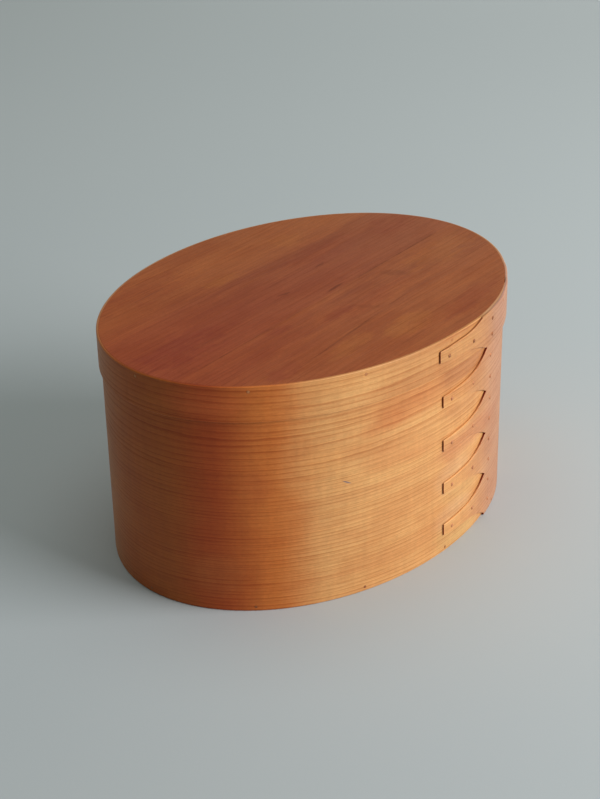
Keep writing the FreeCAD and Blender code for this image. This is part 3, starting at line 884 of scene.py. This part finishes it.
def band_material(name, offset, edge_tint, marks, flecks=(), front_tint=None):
    """The bent strips: golden cherry, with painted shade round the left end, and pinker in the lap.

    front_tint darkens the front, and with it the rim gets the lid's painted highlights and reflection.
    """
    graph, grain = new_material(name)
    along, height, _ = graph.parts(grain)
    place = graph.vector("ADD", grain, offset)
    broad = graph.noise(place, (0.15, 0.010), 3.0, 0.6)
    uneven = graph.noise(place, (0.04, 0.05))
    colour = graph.blend(broad.span(0.3, 0.7), srgb(215, 162, 103), srgb(207, 150, 94))

    # painted shade round the left end and a plainer tone behind, each from its start to where it is full
    back_end = along.span(LAP + 0.14, LAP + 0.30)
    ragged = along + uneven * 0.020 - 0.010
    shaded_amber, shaded_russet, shaded_umber, behind = [
        ragged.span(start, full) * back_end
        for start, full in ((-0.106, -0.142), (-0.137, -0.180), (-0.172, -0.210), (-0.225, -0.320))
    ]
    front = (1.0 - back_end) * along.span(LAP + 0.09, LAP + 0.17, 1.0, 0.3)
    pinker = along.span(LAP, LAP + 0.060) * front * 0.9
    colour = graph.toned(
        colour,
        (shaded_amber, srgb(199, 115, 53)),
        (shaded_russet, srgb(170, 75, 32)),
        (shaded_umber, srgb(170, 90, 34)),
        (behind, srgb(202, 136, 82)),
        (pinker, srgb(184, 134, 104)),
    )

    # the lid: a darker front, painted highlights and a painted reflection on its edges
    if front_tint:
        inner_layer = along.span(-0.085, -0.045)
        outer_layer = along.span(LAP + 0.040, LAP + 0.100, 1.0, 0.0)
        colour = graph.blend(inner_layer + outer_layer, colour, front_tint, "MULTIPLY")
        shaded_left_end = shaded_russet * (1.0 - behind)
        rim = height.span(LID_HIGH - 0.5 * MM, LID_HIGH)
        lap_rim_highlight = along.span(LAP + 0.025, LAP + 0.040) * along.span(LAP + 0.09, LAP + 0.15, 1.0, 0.0)
        edge_tint = graph.toned(
            edge_tint,
            # painted highlight along the rim, faded over the shaded left end
            (rim * (1.0 + shaded_left_end * -0.85), (1.07, 1.03, 1.02)),
            # painted reflection: the edges behind are lighter and bluer
            (behind, (0.86, 0.90, 1.15)),
            # painted highlights, paler and bluer, on the edges over the lap
            (lap_rim_highlight, (1.25, 1.35, 1.75)),
            (along.span(0.020, 0.035), (1.34, 1.50, 2.15)),
        )

    # painted shade: the box's lowest edge is greyed and blued where it meets the floor
    foot_shade = height.span(0.4 * MM, 1.2 * MM, 1.0, 0.0)
    edge_tint = graph.blend(foot_shade, edge_tint, (0.86, 1.06, 1.60))
    colour = graph.marked(colour, grain, marks, uneven - 0.5)
    colour = graph.marked(colour, grain, flecks)
    wood = Cherry(
        line=(0.62, 0.36, 0.18),
        ring_spacing=2.65 * MM,
        ring_contrast=0.48,
        texture=0.28,
        ripple=0.18,
        wave=8 * MM,
        offset=offset,
        wide_above=0.086,
    )
    upper = height.span(0.070, 0.098, 0.95, 1.0)
    left = along.span(-0.05, -0.13, 1.0, 1.12)
    raised = left * along.span(-0.22, -0.30, 1.0, 0.7) * upper
    return oiled(graph, figure(graph, grain, wood, colour, raised), 0.42, edge_tint)


RED = srgb(142, 58, 42)
BROWN = srgb(88, 34, 24)
HONEY = srgb(186, 114, 60)
PALE = srgb(214, 172, 128)
PINK = srgb(192, 128, 92)
TAWNY = srgb(190, 112, 62)
DUSKY = srgb(172, 112, 70)
BLOND = srgb(226, 170, 106)
WHEAT = srgb(202, 164, 106)
RUSSET = srgb(186, 96, 50)
ROSE = srgb(190, 148, 124)
EMBER = srgb(216, 114, 62)

# each mark on a piece: its place and half size in millimetres, slope, strength and tone
LAP_MM = LAP / MM
BOX_MARKS = [
    (-64, 114, 26, 8, 0.1, 0.38, TAWNY),
    (-38, 88, 22, 9, 0.05, 0.28, TAWNY),
    (-45, 121, 45, 14, 0, 0.5, TAWNY),
    # painted shade just below the lid's lower edge
    (14, 127, 46, 14, 0, 0.8, DUSKY),
    (10, 99, 34, 9, 0, 0.32, DUSKY),
    (10, 12, 40, 18, 0, 0.65, WHEAT),
    (10, 44, 30, 18, 0, 0.4, WHEAT),
    # painted shade just below the lid's lower edge
    (LAP_MM + 6, 128, 36, 14, 0, 0.65, DUSKY),
    (0, 54, 30, 14, 0, 0.5, PALE),
    (0, 24, 30, 12, 0, 0.5, PALE),
    (12, 73, 40, 12, 0, 0.5, PINK),
    (LAP_MM + 12, 75, 50, 13, 0, 0.5, PINK),
    (LAP_MM + 22, 104, 22, 30, 0, 0.36, DUSKY),
    (LAP_MM + 18, 70, 20, 11, 0, 0.35, DUSKY),
    (-112, 100, 22, 10, 0.05, 0.45, BLOND),
    (-150, 88, 14, 14, 0, 0.35, RUSSET),
    (-68, 90, 22, 10, 0.05, 0.3, TAWNY),
    (-176, 26, 20, 20, 0, 0.3, HONEY),
]
BOX_FLECKS = [(-94.2, 81.8, 3.6, 0.7, -0.5, 0.9, srgb(120, 112, 120))]
LID_MARKS = [
    (-105, 151, 34, 7, 0, 0.4, BLOND),
    (-180, 143, 34, 12, 0, 0.35, EMBER),
    (LAP_MM + 64, 143, 34, 26, 0, 0.42, ROSE),
]
TOP_MARKS = [
    (-85, -18.7, 75, 0.7, 0.026, 0.35, BROWN),
    (85, -14.3, 90, 0.8, 0.026, 0.4, BROWN),
    (-35, -62.5, 85, 0.9, 0.08, 0.35, BROWN),
    (-70, 80.5, 45, 0.8, 0.04, 0.35, BROWN),
    (40, 19, 9, 1.3, 0.06, 0.55, BROWN),
    (13, -13, 15, 1.4, 0.06, 0.5, BROWN),
    (-16, 8, 7, 1.4, -0.2, 0.45, BROWN),
    (-104, 1, 16, 2, 0.02, 0.35, BROWN),
    (-65, -24, 12, 6, -0.2, 0.35, RED),
    (-17, -37.5, 26, 6, 0.05, 0.35, RED),
    (-2, -48, 6, 6, -0.9, 0.22, BROWN),
    (56, -31, 8, 8, -0.9, 0.2, BROWN),
    (-120, 8, 50, 20, 0.03, 0.5, RED),
    (12, -45, 50, 9, 0.05, 0.28, RED),
    (-60, 86, 50, 18, 0.05, 0.22, RED),
    (132, 24, 22, 18, 0, 0.25, RED),
    (-112, -64, 20, 8, 0.1, 0.4, RED),
    (48, -97, 48, 12, 0.09, 0.32, RED),
    (-10, -86, 30, 12, 0.06, 0.5, HONEY),
    (-55, -74, 30, 8, 0.08, 0.4, HONEY),
    (65, 66, 22, 12, 0, 0.3, HONEY),
    (-22, 57, 20, 7, 0, 0.45, HONEY),
    (110, -35, 50, 20, 0.03, 0.35, HONEY),
    (60, 33, 50, 14, 0.03, 0.2, RED),
]


def board_material(name, offset, marks=()):
    """The boards: red-brown cherry with broad streaks, long lines and small flecks."""
    graph, grain = new_material(name)
    along, across, _ = graph.parts(grain)
    broad = graph.noise(graph.vector("ADD", grain, offset), (0.10, 0.009), 4.0, 0.65)
    tilted = across + along * -0.026
    heart = tilted.span(-0.0172, -0.0155) * tilted.span(0.055, 0.015, 0.0, 0.55)
    colour = graph.toned(
        graph.blend(broad.span(0.3, 0.7), srgb(176, 100, 60), srgb(150, 80, 54)),
        (heart, srgb(152, 76, 54)),
        (along.span(0.03, -0.15, 0.0, 0.65), srgb(158, 70, 38)),
        (along.span(0.0, 0.15, 0.0, 0.4), srgb(170, 108, 75)),
        (across.span(-0.030, -0.080, 0.0, 0.42), srgb(178, 104, 58)),
        (across.span(0.040, 0.075, 0.0, 0.45), srgb(180, 104, 54)),
    )
    uneven = graph.noise(grain, (0.012, 0.0045), 3.0, 0.6)
    colour = graph.marked(colour, grain, marks, (uneven - 0.5) * 3.0)
    wood = Cherry(
        line=(0.66, 0.50, 0.42),
        ring_spacing=4.3 * MM,
        ring_contrast=0.14,
        texture=0.40,
        ripple=0.07,
        wave=14 * MM,
        offset=offset,
    )
    return oiled(graph, figure(graph, grain, wood, colour), 0.46, (0.9, 0.85, 0.8))


def copper_material(name, light, dark, hollows):
    """Copper gone brown in the hollows, with brighter worn heads."""
    graph, grain = new_material(name)
    cloud = graph.noise(grain, (0.0011, 0.0011), 3.0, 0.6)
    scratch = graph.noise(grain, (0.0007, 0.00012, 0.0003))
    shade = graph.attribute("shade")
    tarnish = (cloud + shade * 0.12).span(0.48, 0.74, 0.0, 0.5)
    colour = graph.toned(light, (shade, dark), (tarnish, hollows))
    roughness = 0.50 + tarnish * 0.25 + scratch * 0.14
    return graph.finish(colour, roughness, cloud * 4e-5, metallic=1.0)


def peg_material(name, light, dark):
    """End grain of the pegs, with year rings."""
    graph, grain = new_material(name)
    _, across, _ = graph.parts(grain)
    warp = graph.noise(grain, (0.002, 0.002, 0.02))
    ring = graph.math("FRACT", (across + warp * 0.0009) * (1 / 0.00042))
    speck = graph.noise(grain, (0.00016, 0.00016, 0.003), 1.0).span(0.58, 0.7)
    colour = graph.toned(
        light,
        (ring.span(0.2, 1.0), dark),
        (speck * 0.5, srgb(90, 44, 22)),
        (graph.attribute("shade") * 0.3, dark),
    )
    return graph.finish(colour, 0.5 + speck * 0.2, speck * -3e-5)


# ---- The box ----


def dress(piece, node, body, material):
    """A finished piece takes a CAD node's place on its body."""
    piece.data.materials.append(material)
    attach(piece, body)
    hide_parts(node)


def add_bands():
    """Both bent strips, with the holes for their pegs."""
    box_wood = band_material(
        "cherry_box_band",
        offset=(0.9, 0.33, 0.05),
        # edges lightened: partly wear, partly painted light on the shaded ledges of the fingers
        edge_tint=(1.22, 1.20, 1.14),
        marks=BOX_MARKS,
        flecks=BOX_FLECKS,
    )
    lid_wood = band_material(
        "cherry_lid_band",
        offset=(2.1, 0.71, 0.02),
        edge_tint=(0.74, 0.56, 0.46),
        marks=LID_MARKS,
        front_tint=(0.83, 0.77, 0.76),
    )
    box_strip = plate("box_band_strip", box_band, peg_holes(box_band, BOTTOM_PEGS), BAND_SPACING)
    lid_strip = plate("lid_band_strip", lid_band, peg_holes(lid_band, LID_PEGS), BAND_SPACING)
    dress(box_strip, "box_band", "box", box_wood)
    dress(lid_strip, "lid_band", "lid", lid_wood)


def add_boards():
    """The bottom of the box and the top of the lid."""
    bottom_wood = board_material("cherry_bottom_board", offset=(0.4, 0.1, 0.0))
    top_wood = board_material("cherry_top_board", offset=(1.7, 0.5, 0.3), marks=TOP_MARKS)
    bottom = Board(box_band.base, BOARD_LOW.z, BOARD_HIGH.z)
    top = Board(lid_band.base, TOP_LOW.z, TOP_HIGH.z)
    bottom_board = plate("bottom_board", bottom, (), BOARD_SPACING)
    top_board = plate("top_board", top, (), BOARD_SPACING)
    dress(bottom_board, "box_bottom", "box", bottom_wood)
    dress(top_board, "lid_top", "lid", top_wood)


def add_tacks():
    """Two tacks in each finger and a column of them behind the fingers."""
    copper = copper_material("copper_aged", srgb(212, 152, 112), srgb(196, 138, 104), srgb(158, 104, 76))
    dark_tones = (srgb(170, 116, 84), srgb(150, 100, 74), srgb(104, 64, 46))
    dark_copper = copper_material("copper_aged_dark", *dark_tones)
    in_finger = (TIP_TACK_SETBACK, MIDDLE_TACK_SETBACK)
    box_fingers = [(setback, height) for height in box_band.finger_heights for setback in in_finger]
    step = BOX_FINGER_PITCH / 2
    column = [LOWEST_FINGER + step * (k - 0.5) for k in range(2 * FINGER_COUNT)]
    box_column = [(BOX_COLUMN_SETBACK, height) for height in column]
    middle = (LID_LOW + LID_HIGH) / 2
    lid_finger = [(setback, middle) for setback in in_finger]
    lid_column = [(LID_COLUMN_SETBACK, middle + side * LID_COLUMN_SPACING / 2) for side in (-1, 1)]
    for body, kind, band, spots, seed, metal in (
        ("box", "finger", box_band, box_fingers, 11, copper),
        ("box", "lap", box_band, box_column, 12, copper),
        ("lid", "finger", lid_band, lid_finger, 13, dark_copper),
        ("lid", "lap", lid_band, lid_column, 14, dark_copper),
    ):
        piece = tacks(f"copper_{kind}_tacks_{body}", band, spots, seed)
        dress(piece, f"{body}_{kind}_tacks", body, metal)


def add_pegs():
    """The rings of pegs that hold the boards."""
    dark_pegs = peg_material("peg_end_grain_dark", srgb(160, 92, 46), srgb(130, 70, 34))
    pale_pegs = peg_material("peg_end_grain", srgb(194, 128, 76), srgb(172, 106, 58))
    dress(pegs("pegs_bottom", box_band, BOTTOM_PEGS, 21), "bottom_pegs", "box", dark_pegs)
    dress(pegs("pegs_lid", lid_band, LID_PEGS, 22), "lid_pegs", "lid", pale_pegs)


# ---- Studio ----

PAPER = srgb(188, 196, 201)
FLOOR_RADIUS = 1.75
FLOOR_POINTS = 120
VIEW_HEADING = math.radians(53.165)  # the camera stands this far round from -Y towards -X
VIEW_ELEVATION = math.radians(26.164)
VIEW_ROLL = math.radians(-1.219)
VIEW_DISTANCE = 1.1254
VIEW_TARGET = Vector((0.0006, 0.0089, 0.0716))
LENS = 74.32


def make_camera():
    """The camera looks at the box from above its -X -Y side."""
    level, down = math.cos(VIEW_ELEVATION), math.sin(VIEW_ELEVATION)
    toward = Vector((math.sin(VIEW_HEADING) * level, math.cos(VIEW_HEADING) * level, -down))
    camera = add_object("camera", bpy.data.cameras.new("camera"))
    camera.data.lens = LENS
    camera.data.sensor_width = 36.0
    turned = toward.to_track_quat("-Z", "Y").to_matrix() @ Matrix.Rotation(VIEW_ROLL, 3, "Z")
    camera.matrix_world = Matrix.Translation(VIEW_TARGET - toward * VIEW_DISTANCE) @ turned.to_4x4()
    bpy.context.scene.camera = camera


def make_floor():
    """A round table top of pale paper, with painted light beyond the box and painted shade by the window.
    """
    corners = [(x, y, 0.0) for x, y in circle(FLOOR_POINTS, FLOOR_RADIUS)]
    floor = new_mesh("paper_floor", corners, [range(FLOOR_POINTS)])
    graph = Graph(bpy.data.materials.new("paper"))
    place = graph.value("TexCoord", {}, "Object")
    tooth = graph.noise(place, (0.0016, 0.0016))
    cloud = graph.noise(place, (0.5, 0.5))
    beyond = graph.vector("DOT_PRODUCT", place, beside(0.6, 0.8, 0.0), 1)
    sideways = graph.vector("DOT_PRODUCT", place, beside(0.93, -0.36, 0.0), 1)
    colour = graph.toned(
        PAPER,
        (cloud.span(0.3, 0.7), srgb(185, 194, 200)),
        # painted light: paler beyond the box
        (beyond.span(-0.9, 1.5), srgb(213, 222, 227)),
        # painted shade: greyer near the window
        (sideways.span(0.75, 1.75), srgb(140, 146, 150)),
    )
    floor.data.materials.append(graph.finish(colour, 0.9, tooth * 3e-5, specular=0.2))


def area_light(name, place, aim, size, power, colour):
    lamp = bpy.data.lights.new(name, "AREA")
    lamp.shape = "RECTANGLE"
    lamp.size, lamp.size_y = size
    lamp.energy = power
    lamp.color = colour
    thing = add_object(name, lamp)
    thing.location = place
    thing.rotation_euler = (Vector(aim) - place).to_track_quat("-Z", "Y").to_euler()
    return thing


def beside(right, back, height):
    """A place given from the camera's side: metres to its right of the box, beyond the box and up."""
    rightward = Vector((math.cos(VIEW_HEADING), -math.sin(VIEW_HEADING), 0))
    away = Vector((math.sin(VIEW_HEADING), math.cos(VIEW_HEADING), 0))
    return rightward * right + away * back + Vector((0, 0, height))


def make_lights():
    """A big window to the right, a weak ceiling, a low reflector behind the box and a dim cool room."""
    area_light("window", beside(1.95, -0.74, 0.90), (0, 0, 0.1), (1.7, 1.4), 57, (1.0, 0.97, 0.95))
    area_light("ceiling", beside(0.0, 0.2, 2.4), (0, 0, 0), (2.0, 2.0), 12, (0.95, 1.0, 0.97))
    low_place = beside(0.9, 2.6, 0.45)
    reflector = area_light("reflector", low_place, (0, 0, 0.08), (2.0, 0.7), 10, (1.0, 0.98, 0.96))
    reflector.visible_glossy = False
    world = bpy.data.worlds.new("room")
    graph = Graph(world)
    room = graph.value("Background", {"Color": (0.96, 1.0, 0.86, 1.0), "Strength": 0.18})
    seen = graph.value("Background", {"Color": rgba(srgb(176, 182, 182))})
    to_camera = graph.value("LightPath", {}, "Is Camera Ray")
    mix = graph.value("MixShader", {0: to_camera, 1: room, 2: seen})
    graph.node("OutputWorld", {"Surface": mix})
    bpy.context.scene.world = world


make_camera()
make_floor()
make_lights()
add_bands()
add_boards()
add_tacks()
add_pegs()
bpy.context.scene.view_settings.view_transform = "Standard"
